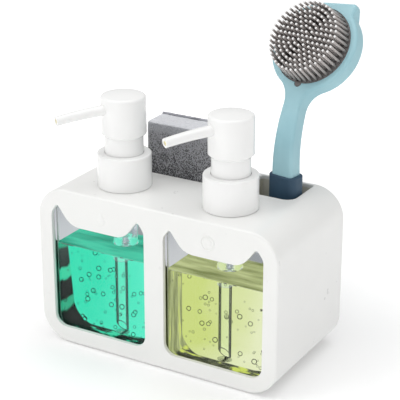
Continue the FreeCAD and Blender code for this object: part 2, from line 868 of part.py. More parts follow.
def make_grip():
    half_x = handle_half_width + grip_lip
    half_y = handle_thickness / 2 + grip_lip
    low = brush_floor + loose_gap
    body = prism_up(rectangle(-half_x, half_x, -half_y, half_y, grip_round), low, grip_top)
    body = body.makeFillet(grip_end_round, edges_at(body, "Z", low))
    body = body.makeFillet(grip_top_round, edges_at(body, "Z", grip_top))
    hole_x = tang_width / 2 + snug_fit
    hole_y = tang_thickness / 2 + snug_fit
    hole = box(-hole_x, hole_x, -hole_y, hole_y, grip_top - tang_length - snug_fit, grip_top + overrun)
    return in_well(body.cut(hole))


def build():
    nodes = {"housing": make_housing(), "rear_insert": make_rear_insert(), "rear_screws": make_screws(),
             "base_pad": make_base_pad(), "sponge_foam": make_foam(), "sponge_scourer": make_scourer(),
             "brush_handle": make_brush_handle(), "brush_bristles": make_bristles(),
             "brush_grip": make_grip()}
    pump = {"collar": make_collar(), "gasket": make_gasket(), "sleeve": make_sleeve(), "stem": make_stem(),
            "piston": make_piston(), "chamber": make_chamber(), "spring": make_spring(),
            "ball": make_ball(), "dip_tube": make_dip_tube()}
    for name, side, angle in (("left", -1, left_spout_angle), ("right", 1, right_spout_angle)):
        nodes[name + "_bottle"] = make_bottle(side)
        nodes[name + "_soap"] = make_soap(side)
        nodes[name + "_head"] = at_pump(make_head(angle), side)
        for piece, shape in pump.items():
            nodes[name + "_" + piece] = at_pump(shape, side)
    return nodes


os.makedirs("parts", exist_ok=True)
for node, shape in build().items():
    shape.exportStep("parts/" + node + ".step")
    print("%-16s solids %3d  valid %s  volume %9.1f"
          % (node, len(shape.Solids), shape.isValid(), shape.Volume))
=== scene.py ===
# %% [markdown]
# This lesson dresses a countertop soap caddy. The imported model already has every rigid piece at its
# real size: the white housing, the bottles, the pumps, the sponge and the brush. What is left for
# Blender is what a camera sees: finishes, clear soap with bubbles in it, a sponge with pores and
# silicone bristles with pale tips. Everything is in metres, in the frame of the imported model.

# %% Load the frame
import math
import random

import bmesh
import bpy
from mathutils import Matrix, Vector, noise


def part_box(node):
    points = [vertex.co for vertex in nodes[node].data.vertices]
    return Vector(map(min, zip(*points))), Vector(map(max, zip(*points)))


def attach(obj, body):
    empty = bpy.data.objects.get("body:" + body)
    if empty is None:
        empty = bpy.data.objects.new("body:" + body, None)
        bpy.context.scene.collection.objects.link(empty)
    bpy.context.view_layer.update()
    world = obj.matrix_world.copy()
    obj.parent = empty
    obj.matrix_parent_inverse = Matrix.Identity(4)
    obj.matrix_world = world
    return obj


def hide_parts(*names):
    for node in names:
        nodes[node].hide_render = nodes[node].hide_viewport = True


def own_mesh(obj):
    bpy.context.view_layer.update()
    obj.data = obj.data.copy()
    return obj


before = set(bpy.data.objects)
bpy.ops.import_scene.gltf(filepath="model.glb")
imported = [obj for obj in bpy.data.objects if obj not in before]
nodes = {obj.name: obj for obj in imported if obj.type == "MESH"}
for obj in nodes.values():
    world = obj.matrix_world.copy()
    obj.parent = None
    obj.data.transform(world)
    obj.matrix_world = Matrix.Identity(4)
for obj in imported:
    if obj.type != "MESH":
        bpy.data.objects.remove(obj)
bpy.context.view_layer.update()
mm = 0.001
sides = ("left", "right")

# %% [markdown]
# The camera comes first, because every later choice is judged through it. Its place was solved from
# the housing's straight edges, so a long lens about 0.95 m away sees the same three faces as the
# photograph, with no lens shift. The colours are shown with the plain Standard transform, which
# keeps a white product white.

# %% Camera
camera_place = (0.42938, -0.72207, 0.43602)
camera_turn = 30.3077
camera_dip = 21.6363
camera_lens = 123.1
camera_sensor = 36.0
camera_clip = 50.0

camera_data = bpy.data.cameras.new("photo_camera")
camera_data.sensor_width = camera_sensor
camera_data.lens = camera_lens
camera_data.clip_end = camera_clip
camera = bpy.data.objects.new("photo_camera", camera_data)
camera.location = camera_place
camera.rotation_euler = (math.radians(90 - camera_dip), 0, math.radians(camera_turn))
scene = bpy.context.scene
scene.collection.objects.link(camera)
scene.camera = camera
scene.view_settings.view_transform = "Standard"
print("camera", camera_lens, "mm lens at", camera_place)

# %% [markdown]
# Colours are easiest to choose as they look on a screen, from 0 to 255, but shaders work with
# linear light. One helper turns the first into the second. The other helpers here make the node
# patterns that every finish below is built from: a pattern on Object coordinates, a colour ramp and
# a bump. Sizes of patterns are given in repeats a metre.

# %% Helpers for finishes
def tint(red, green, blue):
    """A screen colour as the linear colour that shaders use."""
    def linear(value):
        share = value / 255
        return share / 12.92 if share <= 0.04045 else ((share + 0.055) / 1.055) ** 2.4
    return (linear(red), linear(green), linear(blue), 1.0)


def start_finish(name, **sockets):
    """A new Principled material with the given sockets set, its node tree and its shader."""
    material = bpy.data.materials.new(name)
    material.use_nodes = True
    shader = material.node_tree.nodes["Principled BSDF"]
    for socket, value in sockets.items():
        shader.inputs[socket.replace("_", " ")].default_value = value
    return material, material.node_tree, shader


def pattern(tree, kind, scale, stretch=(1, 1, 1), **inputs):
    """A texture node on Object coordinates, with scale in repeats a metre."""
    place = tree.nodes.new("ShaderNodeTexCoord")
    mapping = tree.nodes.new("ShaderNodeMapping")
    mapping.inputs["Scale"].default_value = stretch
    texture = tree.nodes.new("ShaderNodeTex" + kind)
    texture.inputs["Scale"].default_value = scale
    for name, value in inputs.items():
        texture.inputs[name].default_value = value
    tree.links.new(place.outputs["Object"], mapping.inputs["Vector"])
    tree.links.new(mapping.outputs["Vector"], texture.inputs["Vector"])
    return texture.outputs["Distance" if kind == "Voronoi" else "Fac"]


def ramp(tree, source, *stops):
    """A colour ramp through stops of (position, colour) or (position, grey)."""
    node = tree.nodes.new("ShaderNodeValToRGB")
    elements = node.color_ramp.elements
    while len(elements) < len(stops):
        elements.new(0.5)
    for element, (position, colour) in zip(elements, stops):
        element.position = position
        element.color = colour if isinstance(colour, tuple) else (colour, colour, colour, 1.0)
    tree.links.new(source, node.inputs["Fac"])
    return node.outputs["Color"]


def add_bump(tree, shader, source, height):
    """A bump of a height in metres, on top of any bump that the shader already has."""
    node = tree.nodes.new("ShaderNodeBump")
    node.inputs["Strength"].default_value = 1.0
    node.inputs["Distance"].default_value = height
    tree.links.new(source, node.inputs["Height"])
    if shader.inputs["Normal"].links:
        tree.links.new(shader.inputs["Normal"].links[0].from_socket, node.inputs["Normal"])
    tree.links.new(node.outputs["Normal"], shader.inputs["Normal"])


def axis(tree, letter):
    """One Object coordinate, in metres."""
    place = tree.nodes.new("ShaderNodeTexCoord")
    split = tree.nodes.new("ShaderNodeSeparateXYZ")
    tree.links.new(place.outputs["Object"], split.inputs["Vector"])
    return split.outputs[letter]


def calc(tree, operation, *values):
    """A Math node on sockets and numbers."""
    node = tree.nodes.new("ShaderNodeMath")
    node.operation = operation
    for socket, value in zip(node.inputs, values):
        if isinstance(value, bpy.types.NodeSocket):
            tree.links.new(value, socket)
        else:
            socket.default_value = value
    return node.outputs["Value"]


def soft_step(tree, value, low, high):
    """0 below low, 1 above high and smooth between; low may be the larger."""
    node = tree.nodes.new("ShaderNodeMapRange")
    node.interpolation_type = "SMOOTHSTEP"
    node.inputs["From Min"].default_value = min(low, high)
    node.inputs["From Max"].default_value = max(low, high)
    node.inputs["To Min"].default_value = 0.0 if low < high else 1.0
    node.inputs["To Max"].default_value = 1.0 if low < high else 0.0
    tree.links.new(value, node.inputs["Value"])
    return node.outputs["Result"]


def mix_colour(tree, factor, first, second):
    """Mix two colours, each a socket or a constant."""
    node = tree.nodes.new("ShaderNodeMix")
    node.data_type = "RGBA"
    tree.links.new(factor, node.inputs["Factor"])
    for socket, value in ((node.inputs[6], first), (node.inputs[7], second)):
        if isinstance(value, bpy.types.NodeSocket):
            tree.links.new(value, socket)
        else:
            socket.default_value = value
    return node.outputs[2]


print("helpers ready")

# %% [markdown]
# Most of the caddy is moulded plastic. What tells moulded plastic from a flat colour is small: the
# colour drifts by a percent or two over a few centimetres, the gloss is uneven, and the surface has
# a very fine grain from the mould. One function makes all of these plastics, and only the numbers
# change from the satin housing to the glossy pumps and the matt brush. The rear insert is white on its
# outside; inside the wells it is painted darker and warmer, as painted shade where the light is dim.

# %% Moulded plastics
usual_drift = 35.0
usual_grain = 1600.0
usual_height = 0.02 * mm
insert_skin = (0.5 * mm, 2.0 * mm)
insert_roughness = 0.5


def moulded(name, low, high, gloss, drift=usual_drift, grain=usual_grain, height=usual_height, **sockets):
    """Plastic whose colour drifts from low to high and whose roughness varies within gloss."""
    material, tree, shader = start_finish(name, **sockets)
    patches = pattern(tree, "Noise", drift, Detail=3.0)
    tree.links.new(ramp(tree, patches, (0.3, low), (0.7, high)), shader.inputs["Base Color"])
    smears = pattern(tree, "Noise", 3 * drift, Detail=4.0)
    tree.links.new(ramp(tree, smears, (0.25, gloss[0]), (0.75, gloss[1])), shader.inputs["Roughness"])
    add_bump(tree, shader, pattern(tree, "Noise", grain, Detail=1.0), height)
    return material


def insert_finish():
    """White plastic on the outside of the rear insert, painted darker and warmer inside as painted shade."""
    material, tree, shader = start_finish("insert_white", Roughness=insert_roughness)
    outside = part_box("rear_insert")[1].y
    facing_out = soft_step(tree, axis(tree, "Y"), outside - insert_skin[1], outside - insert_skin[0])
    patches = pattern(tree, "Noise", usual_drift, Detail=3.0)
    # Inside the wells the colour is painted shade, darker and warmer than the white outside.
    painted_shade_inside = ramp(tree, patches, (0.3, tint(196, 192, 174)), (0.7, tint(206, 202, 186)))
    tree.links.new(mix_colour(tree, facing_out, painted_shade_inside, tint(237, 237, 235)), shader.inputs["Base Color"])
    add_bump(tree, shader, pattern(tree, "Noise", usual_grain, Detail=1.0), usual_height)
    return material


housing_white = moulded("housing_white", tint(236, 236, 234), tint(238, 238, 236), (0.27, 0.31))
insert_white = insert_finish()
pump_white = moulded("pump_white", tint(240, 240, 239), tint(243, 243, 242), (0.15, 0.20), grain=900.0)
valve_white = moulded("valve_white", tint(232, 232, 228), tint(238, 238, 236), (0.35, 0.50))
brush_blue = moulded("brush_blue", tint(150, 193, 203), tint(160, 201, 210), (0.38, 0.50), drift=50.0)
brush_navy = moulded("brush_navy", tint(38, 66, 88), tint(44, 75, 98), (0.48, 0.62), drift=60.0,
                     grain=1100.0, height=0.04 * mm)
pad_rubber = moulded("pad_rubber", tint(150, 150, 150), tint(162, 162, 160), (0.70, 0.85), grain=700.0,
                     height=0.08 * mm)
steel = moulded("steel", tint(190, 190, 194), tint(206, 206, 210), (0.22, 0.38), Metallic=1.0)
print("moulded finishes made")

# %% [markdown]
# The dip tubes and the pump chambers are clear plastic. They are real glass shaders, and they have a
# low index, because plastic in liquid bends the light much less than in air. The dark line along each
# edge of a tube comes from a Layer Weight node, which tells where clear plastic is seen edge on, so
# that less light comes through it. A slight waviness keeps the pieces from looking like cut crystal.

# %% Clear plastics
edge_width = 0.15


def clear(name, colour, index, roughness, wave, height, **sockets):
    """See-through plastic with a faint waviness."""
    material, tree, shader = start_finish(name, Base_Color=colour, Transmission_Weight=1.0, IOR=index,
                                          **sockets)
    cloud = pattern(tree, "Noise", 2 * wave, Detail=2.0)
    tree.links.new(ramp(tree, cloud, (0.3, roughness), (0.7, 1.6 * roughness)), shader.inputs["Roughness"])
    add_bump(tree, shader, pattern(tree, "Noise", wave, Detail=1.0), height)
    return material, tree, shader


def dark_edge(tree, shader, middle, edge, start):
    """Let the finish go dark where the surface turns away, as the edge of clear plastic does."""
    weight = tree.nodes.new("ShaderNodeLayerWeight")
    weight.inputs["Blend"].default_value = 0.5
    tree.links.new(ramp(tree, weight.outputs["Facing"], (start, middle), (start + edge_width, edge)),
                   shader.inputs["Base Color"])


# The chambers and the tubes glow faintly: their emission is a painted glow.
pump_clear = clear("pump_clear", tint(238, 242, 244), index=1.20, roughness=0.12, wave=120.0,
                   height=0.05 * mm, Emission_Color=tint(190, 198, 202), Emission_Strength=0.10)[0]
tube_clear, tree, shader = clear("tube_clear", tint(250, 252, 252), index=1.05, roughness=0.02, wave=90.0,
                                 height=0.03 * mm, Emission_Color=tint(232, 236, 232), Emission_Strength=0.02)
dark_edge(tree, shader, tint(250, 252, 252), tint(30, 34, 36), start=0.32)
print("clear finishes made")

# %% [markdown]
# A bottle is clear at the front, where it stands behind its window. Above the soap its far walls are
# seen empty, and they look pale grey there, which is painted light. So the finish is clear in front and
# turns to a softly glowing grey towards the back, above the soap only: a painted glow that is dimmer
# towards the top.

# %% Bottle finishes
clear_depth = 5.0 * mm
painted_glow_blend = 2.0 * mm
level_blend = 0.6 * mm


def bottle_finish(side):
    low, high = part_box(side + "_bottle")
    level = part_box(side + "_soap")[1].z
    material, tree, shader = clear(side + "_bottle_clear", tint(252, 254, 253), index=1.18, roughness=0.01,
                                   wave=40.0, height=0.03 * mm, Emission_Strength=1.0)
    # Behind the clear front and above the soap, the walls take a painted glow of grey light.
    behind = soft_step(tree, axis(tree, "Y"), low.y + clear_depth, low.y + clear_depth + painted_glow_blend)
    empty = soft_step(tree, axis(tree, "Z"), level - level_blend, level)
    painted_glow_mask = calc(tree, "MULTIPLY", behind, empty)
    tree.links.new(calc(tree, "SUBTRACT", 1.0, painted_glow_mask), shader.inputs["Transmission Weight"])
    painted_glow_colour = ramp(tree, soft_step(tree, axis(tree, "Z"), level, high.z), (0.0, tint(196, 197, 202)),
                (1.0, tint(140, 142, 148)))
    tree.links.new(mix_colour(tree, painted_glow_mask, (0, 0, 0, 1), painted_glow_colour), shader.inputs["Emission Color"])
    tree.links.new(mix_colour(tree, painted_glow_mask, tint(252, 254, 253), tint(50, 50, 52)), shader.inputs["Base Color"])
    return material


bottle_clear = {side: bottle_finish(side) for side in sides}
print("bottle finishes made")

# %% [markdown]
# The soap is a clear coloured liquid, and what a camera sees in it is its far walls, bent towards the
# viewer by the liquid. The back wall carries painted light: it glows in the soap's colour, as one
# bright block with rounded lower corners. The side walls and the floor of the bottle are painted dark
# as painted shade, with streaks of colour as painted reflections of the bright block. So the front face
# of the soap is clear, and the far faces carry this painted light and shade as a glow, worked out from
# each point's distance to the corners of the bottle.

# %% Where the soap shows its painted bright block
soap_index = 1.2
side_share = 0.46
floor_share = 0.35
block_edge = 0.3 * mm


def block_mask(tree, low, high, start, lift, rounding, lean):
    """1 inside the painted bright block on the soap's far walls, 0 outside it.

    The block is a rounded rectangle that is carried forward from the back wall, so that on the side
    walls and on the floor its edges slope as the liquid bends them.
    """
    depth = calc(tree, "SUBTRACT", axis(tree, "Y"), high.y)
    inward = calc(tree, "MINIMUM", calc(tree, "SUBTRACT", axis(tree, "X"), low.x),
                  calc(tree, "SUBTRACT", high.x, axis(tree, "X")))
    leaning = calc(tree, "MULTIPLY", calc(tree, "SUBTRACT", high.z, axis(tree, "Z")), lean)
    across = calc(tree, "ADD", inward, calc(tree, "MULTIPLY", depth, side_share))
    across = calc(tree, "SUBTRACT", across, calc(tree, "ADD", leaning, start))
    above = calc(tree, "ADD", calc(tree, "SUBTRACT", axis(tree, "Z"), low.z),
                 calc(tree, "MULTIPLY", depth, floor_share))
    above = calc(tree, "SUBTRACT", above, lift)
    over = [calc(tree, "POWER", calc(tree, "MAXIMUM", calc(tree, "SUBTRACT", rounding, part), 0.0), 2.0)
            for part in (across, above)]
    corner = calc(tree, "SQRT", calc(tree, "ADD", *over))
    return soft_step(tree, calc(tree, "SUBTRACT", rounding, corner), -block_edge, block_edge)


print("block mask ready")

# %% [markdown]
# The two soaps differ in their painted colours and streaks. The teal soap has a side painted nearly
# black as painted shade, with two broad bands of teal across it as painted reflections. The lime soap
# is paler, and its side shows fine upright streaks of painted reflection. The painted light on the back
# wall is brighter on the right in both.

# %% Painted light and shade on the soap's walls
band_wobble = 10.0 * mm
wobble_scale = 60.0
streak_scale = 260.0
streak_stretch = (1, 1, 0.12)
cloud_scale = 30.0
cloud_share = 0.5


def teal_side(tree, low, high):
    wobble = calc(tree, "MULTIPLY", pattern(tree, "Noise", wobble_scale, Detail=3.0), band_wobble)
    rise = calc(tree, "DIVIDE", calc(tree, "SUBTRACT", calc(tree, "ADD", axis(tree, "Z"), wobble), low.z),
                high.z - low.z)
    # Painted shade (dark) with bands of painted reflection (dim, lit) up the side wall.
    dark, dim, lit = tint(3, 7, 6), tint(36, 168, 128), tint(52, 206, 160)
    return ramp(tree, rise, (0.0, dark), (0.24, dark), (0.27, dim), (0.36, dim), (0.39, dark), (0.60, dark),
                (0.63, lit), (0.74, lit), (0.77, tint(24, 40, 37)), (0.96, tint(46, 62, 58)), (1.0, dim))


def lime_side(tree, low, high):
    # Painted shade with fine upright streaks of painted reflection.
    streaks = pattern(tree, "Noise", streak_scale, stretch=streak_stretch, Detail=4.0)
    return ramp(tree, streaks, (0.30, tint(96, 100, 72)), (0.48, tint(150, 158, 104)),
                (0.58, tint(172, 180, 128)), (0.68, tint(206, 218, 112)))


def block_colour(tree, low, high, dim, lit):
    """Painted light on the lit back wall: brighter on the right, with soft clouds."""
    across = calc(tree, "DIVIDE", calc(tree, "SUBTRACT", axis(tree, "X"), low.x), high.x - low.x)
    clouds = pattern(tree, "Noise", cloud_scale, Detail=2.0)
    mixed = calc(tree, "ADD", across, calc(tree, "MULTIPLY", clouds, cloud_share))
    return ramp(tree, mixed, (0.30, dim), (1.20, lit))


print("wall colours ready")

# %% [markdown]
# The top of the liquid, seen from above through the window, carries a painted glow streaked along the
# bottle, and at the very back a painted reflection of the empty grey wall. The walls themselves mirror
# nothing, so that the painted dark sides stay dark. Round the dip tube the soap is left out, so that
# the tube shows clearly.

# %% Soap finishes
mirror_depth = 12.0 * mm
mirror_blend = 3.0 * mm
floor_skin = (0.4 * mm, 1.4 * mm)
top_skin = (0.3 * mm, 0.9 * mm)
front_skin = (0.6 * mm, 1.6 * mm)
socket_reach = (7.0 * mm, 8.0 * mm)
tube_gap = 0.75 * mm
socket_gap = 3.45 * mm
bit_scale = 160.0
bit_stretch = (0.5, 1, 1)
wave_scale = 120.0
wave_stretch = (0.18, 1, 1)
ripple_scale = 18.0
ripple_height = 0.1 * mm
painted_mirror_grey = tint(150, 153, 158)
wall_shade = tint(20, 24, 22)


def beside_tube(tree, side):
    """0 in the room that the dip tube and its socket take in the soap, 1 elsewhere."""
    tube_low, tube_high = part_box(side + "_dip_tube")
    tube = (tube_low + tube_high) / 2
    aside = [calc(tree, "POWER", calc(tree, "SUBTRACT", axis(tree, letter), place), 2.0)
             for letter, place in (("X", tube.x), ("Y", tube.y))]
    aside = calc(tree, "SQRT", calc(tree, "ADD", *aside))
    wider = soft_step(tree, axis(tree, "Z"), tube_high.z - socket_reach[1], tube_high.z - socket_reach[0])
    tube_room = (tube_high.x - tube_low.x) / 2 + tube_gap
    room = calc(tree, "ADD", calc(tree, "MULTIPLY", wider, socket_gap), tube_room)
    return calc(tree, "GREATER_THAN", aside, room)


def soap_material(side, name, dim, lit, side_maker, floor_colours, top_colours, **block):
    low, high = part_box(side + "_soap")
    material, tree, shader = start_finish(name, IOR=soap_index, Roughness=0.02, Emission_Strength=1.0,
                                          Specular_IOR_Level=0.0)
    bright = block_mask(tree, low, high, **block)
    on_floor = soft_step(tree, axis(tree, "Z"), low.z + floor_skin[1], low.z + floor_skin[0])
    bits = pattern(tree, "Noise", bit_scale, stretch=bit_stretch, Detail=4.0)
    floor_colour = ramp(tree, bits, *zip((0.42, 0.52, 0.60), floor_colours))
    around = mix_colour(tree, on_floor, side_maker(tree, low, high), floor_colour)
    walls = mix_colour(tree, bright, around, block_colour(tree, low, high, dim, lit))
    waves = pattern(tree, "Noise", wave_scale, stretch=wave_stretch, Detail=4.0)
    on_top = soft_step(tree, axis(tree, "Z"), high.z - top_skin[1], high.z - top_skin[0])
    surface = ramp(tree, waves, *zip((0.30, 0.62), top_colours))
    far_back = soft_step(tree, axis(tree, "Y"), high.y - mirror_depth, high.y - mirror_depth + mirror_blend)
    surface = mix_colour(tree, far_back, surface, painted_mirror_grey)
    walls = mix_colour(tree, on_top, walls, surface)
    behind = soft_step(tree, axis(tree, "Y"), low.y + front_skin[0], low.y + front_skin[1])
    # Behind the clear front skin the far faces glow with this painted light and shade.
    tree.links.new(mix_colour(tree, behind, (0, 0, 0, 1), walls), shader.inputs["Emission Color"])
    tree.links.new(mix_colour(tree, behind, (1, 1, 1, 1), wall_shade), shader.inputs["Base Color"])
    tree.links.new(calc(tree, "SUBTRACT", 1.0, behind), shader.inputs["Transmission Weight"])
    tree.links.new(beside_tube(tree, side), shader.inputs["Alpha"])
    add_bump(tree, shader, pattern(tree, "Noise", ripple_scale, Detail=1.0), ripple_height)
    return material


# Each soap's painted light and shade: back wall, dark floor with painted reflections, glowing top.
soap_finish = {
    "left": soap_material("left", "teal_soap", tint(46, 221, 179), tint(92, 238, 203), teal_side,
                          (tint(10, 18, 16), tint(24, 44, 38), tint(60, 210, 165)),
                          (tint(24, 122, 100), tint(70, 200, 166)),
                          start=-15.3 * mm, lift=-9.5 * mm, rounding=15 * mm, lean=0.07),
    "right": soap_material("right", "lime_soap", tint(203, 216, 126), tint(230, 235, 192), lime_side,
                           (tint(56, 60, 44), tint(100, 104, 80), tint(204, 217, 100)),
                           (tint(92, 103, 42), tint(188, 196, 140)),
                           start=-11.0 * mm, lift=-10.5 * mm, rounding=14 * mm, lean=0.0)}
print("soap finishes made")

# %% [markdown]
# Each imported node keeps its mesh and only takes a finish. A table from the end of a node's name to
# its finish is enough, because the left and the right pump are made alike.

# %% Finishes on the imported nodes
finish_of = {"housing": housing_white, "rear_insert": insert_white, "rear_screws": steel,
             "base_pad": pad_rubber, "brush_handle": brush_blue, "brush_grip": brush_navy,
             "head": pump_white, "collar": pump_white, "gasket": pad_rubber,
             "sleeve": pump_white, "stem": valve_white, "piston": valve_white, "chamber": pump_clear,
             "ball": steel, "dip_tube": tube_clear}


def finish_for(node):
    side, _, piece = node.partition("_")
    if side not in sides:
        return finish_of.get(node)
    if piece in ("soap", "bottle"):
        return (soap_finish if piece == "soap" else bottle_clear)[side]
    return finish_of.get(piece)


for name, node in nodes.items():
    if finish_for(name):
        node.data.materials.clear()
        node.data.materials.append(finish_for(name))
print("finishes set on", sum(1 for name in nodes if finish_for(name)), "nodes")

# %% [markdown]
# New pieces are made in a bmesh and then turned into an object at the origin, with their place in
# the mesh. This helper does that last step for every piece: it gives the finish and the body that
# carries the piece.

# %% Helper for new pieces
def finish_piece(name, shape, material, body, replaced=()):
    """Turn a bmesh into a piece that rides on a body."""
    mesh = bpy.data.meshes.new(name)
    shape.to_mesh(mesh)
    shape.free()
    for face in mesh.polygons:
        face.use_smooth = True
    mesh.materials.append(material)
    piece = bpy.data.objects.new(name, mesh)
    scene.collection.objects.link(piece)
    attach(piece, body)
    if replaced:
        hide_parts(*replaced)
    print(name, len(mesh.polygons), "faces on", body)
    return piece


print("piece helper ready")

# %% [markdown]
# Inside each pump a steel spring lifts the head again after a press. It stands on the chamber's floor
# and gets shorter as the head goes down, so a rigid copy would be cut by the piston. The imported spring
# is copied and its loose triangles are merged.

# %% Return springs
spring_merge = 0.001 * mm


def make_spring(side):
    shape = bmesh.new()
    shape.from_mesh(nodes[side + "_spring"].data)
    bmesh.ops.remove_doubles(shape, verts=shape.verts, dist=spring_merge)
    bmesh.ops.recalc_face_normals(shape, faces=shape.faces)
    spring = finish_piece(side + "_return_spring", shape, steel, side + "_pump", [side + "_spring"])
    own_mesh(spring)


for side in sides:
    make_spring(side)

# %% [markdown]
# Bubbles hang in the soap, most of them near the front where they were caught when the bottle was
# filled. An air bubble shows a bright middle and a dark ring, because near its edge no light comes
# through, so the bubbles take the same dark edge as the tubes. The places are random but seeded, so
# that every run gives the same bubbles, and they keep clear of the walls and of the dip tube.

# %% Bubbles in the soap
bubble_count = 90
bubble_sizes = (0.55 * mm, 2.0 * mm)
bubble_wall_gap = 1.0 * mm
bubble_tube_gap = 6.0 * mm
bubble_size_bias = 2.2
bubble_front_bias = 2
bubble_detail = 2

bubble_finish, tree, shader = clear("bubble_air", tint(252, 254, 253), index=1.06, roughness=0.0, wave=60.0,
                                    height=0.01 * mm)
dark_edge(tree, shader, tint(252, 254, 253), tint(4, 8, 7), start=0.24)


def bubble_places(side):
    """Seeded random centres and radii inside one bottle's soap."""
    draw = random.Random(side)
    low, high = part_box(side + "_soap")
    tube_low, tube_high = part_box(side + "_dip_tube")
    tube = (tube_low + tube_high) / 2
    while True:
        radius = bubble_sizes[0] + (bubble_sizes[1] - bubble_sizes[0]) * draw.random() ** bubble_size_bias
        room = bubble_wall_gap + radius
        depth = draw.random() ** bubble_front_bias
        place = Vector((draw.uniform(low.x + room, high.x - room),
                        low.y + room + depth * (high.y - low.y - 2 * room),
                        draw.uniform(low.z + room, high.z - room)))
        if (place.xy - tube.xy).length > bubble_tube_gap + radius:
            yield place, radius


def make_bubbles(side):
    shape = bmesh.new()
    places = bubble_places(side)
    for _ in range(bubble_count):
        place, radius = next(places)
        bmesh.ops.create_icosphere(shape, subdivisions=bubble_detail, radius=radius,
                                   matrix=Matrix.Translation(place))
    finish_piece(side + "_bubbles", shape, bubble_finish, "caddy")


for side in sides:
    make_bubbles(side)

# %% [markdown]
# The sponge is two glued layers: a thick dark grey foam and a thin, paler scouring mat behind it. A
# sponge isn't sewn, so nothing has to be simulated. Each layer starts as a block with rounded edges,
# is cut into small even faces, and then every point is pushed in a little by a cell pattern, which
# makes real pits in the mesh. Finer pores come from the bump of the finish.

# %% Foam and scourer blocks
foam_round = 3.2 * mm
foam_grid = 1.1 * mm
pit_depth = 0.45 * mm
pit_spacing = 2.6 * mm
mat_round = 0.7 * mm
mat_grid = 0.8 * mm
mat_depth = 0.3 * mm
mat_spacing = 1.3 * mm
pit_sharpness = 1.6
swell_share = 0.4
swell_spacing = 4
block_round_steps = 3


def soft_block(low, high, rounding, grid):
    """A rounded block of small even faces between two corners."""
    shape = bmesh.new()
    bmesh.ops.create_cube(shape, size=1.0)
    bmesh.ops.scale(shape, vec=high - low, verts=shape.verts)
    bmesh.ops.translate(shape, vec=(low + high) / 2, verts=shape.verts)
    bmesh.ops.bevel(shape, geom=shape.edges[:], offset=rounding, offset_type="OFFSET", affect="EDGES",
                    segments=block_round_steps, profile=0.5, material=-1)
    mesh = bpy.data.meshes.new("block")
    shape.to_mesh(mesh)
    shape.free()
    block = bpy.data.objects.new("block", mesh)
    scene.collection.objects.link(block)
    remesh = block.modifiers.new("even", "REMESH")
    remesh.mode = "VOXEL"
    remesh.voxel_size = grid
    even = bpy.data.meshes.new_from_object(block.evaluated_get(bpy.context.evaluated_depsgraph_get()))
    bpy.data.objects.remove(block)
    shape = bmesh.new()
    shape.from_mesh(even)
    return shape


def pit(shape, depth, spacing):
    """Push points in along their normals where a cell pattern has its cores."""
    shape.normal_update()
    moves = []
    for vert in shape.verts:
        near = noise.voronoi(vert.co / spacing)[0][0]
        rough = noise.noise(vert.co / (swell_spacing * spacing))
        core = max(0.0, 1.0 - pit_sharpness * near)
        moves.append(vert.normal * (-depth * core + swell_share * depth * (rough - 1.0)))
    for vert, move in zip(shape.verts, moves):
        vert.co += move


foam_low, foam_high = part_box("sponge_foam")
mat_low, mat_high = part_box("sponge_scourer")
foam_shape = soft_block(foam_low, foam_high, foam_round, foam_grid)
pit(foam_shape, pit_depth, pit_spacing)
mat_shape = soft_block(mat_low, mat_high, mat_round, mat_grid)
pit(mat_shape, mat_depth, mat_spacing)
print("foam", len(foam_shape.verts), "points, mat", len(mat_shape.verts), "points")

# %% [markdown]
# The foam has a dark grey skin with paler walls between its pores. Lower down the skin is painted
# darker, as painted shade, and it lightens towards its upper end, where the skin is worn to a mid grey,
# and the end itself is the cut face of the pale open foam. These steps follow the height of the surface.

# %% Foam layer
painted_shade_reach = 36.0 * mm
worn_band = 8.0 * mm
pale_end = 1.0 * mm
worn_start = 0.7
pore_scale = 1050.0
pore_height = 0.6 * mm
clump_scale = 230.0
clump_share = 0.6
painted_shade_share = 0.22
fuzz_scale = 2200.0
fuzz_height = 0.2 * mm

foam_finish, tree, shader = start_finish("sponge_foam", Roughness=0.95, Sheen_Weight=0.25,
                                         Sheen_Roughness=0.6)
cells = pattern(tree, "Voronoi", pore_scale)
height = axis(tree, "Z")
# Lower down the skin is darker: painted shade, lifting towards the upper end.
painted_shade_lift = soft_step(tree, height, foam_high.z - painted_shade_reach, foam_high.z - worn_band)
clumps = calc(tree, "MULTIPLY", pattern(tree, "Noise", clump_scale, Detail=4.0), clump_share)
clumps = calc(tree, "ADD", cells, clumps)
clumps = calc(tree, "ADD", clumps, calc(tree, "MULTIPLY", painted_shade_lift, painted_shade_share))
skin = ramp(tree, clumps, (0.36, tint(8, 9, 12)), (0.72, tint(46, 47, 50)), (1.0, tint(142, 143, 147)))
worn = ramp(tree, clumps, (0.30, tint(112, 114, 118)), (1.0, tint(150, 152, 157)))
core = ramp(tree, clumps, (0.30, tint(188, 189, 195)), (1.0, tint(218, 219, 224)))
near_end = soft_step(tree, height, foam_high.z - worn_band, foam_high.z - worn_start * worn_band)
upper = mix_colour(tree, near_end, skin, worn)
at_end = soft_step(tree, height, foam_high.z - 2 * pale_end, foam_high.z - pale_end)
tree.links.new(mix_colour(tree, at_end, upper, core), shader.inputs["Base Color"])
add_bump(tree, shader, cells, pore_height)
add_bump(tree, shader, pattern(tree, "Noise", fuzz_scale, Detail=3.0), fuzz_height)
foam = finish_piece("foam_layer", foam_shape, foam_finish, "sponge", ["sponge_foam"])

# %% [markdown]
# The scouring mat is a mesh of matted fibres, so its pattern is stretched one way and then the other.

# %% Scouring layer
fibre_scale = 500.0
fibre_stretch = 0.15
fibre_height = 0.4 * mm

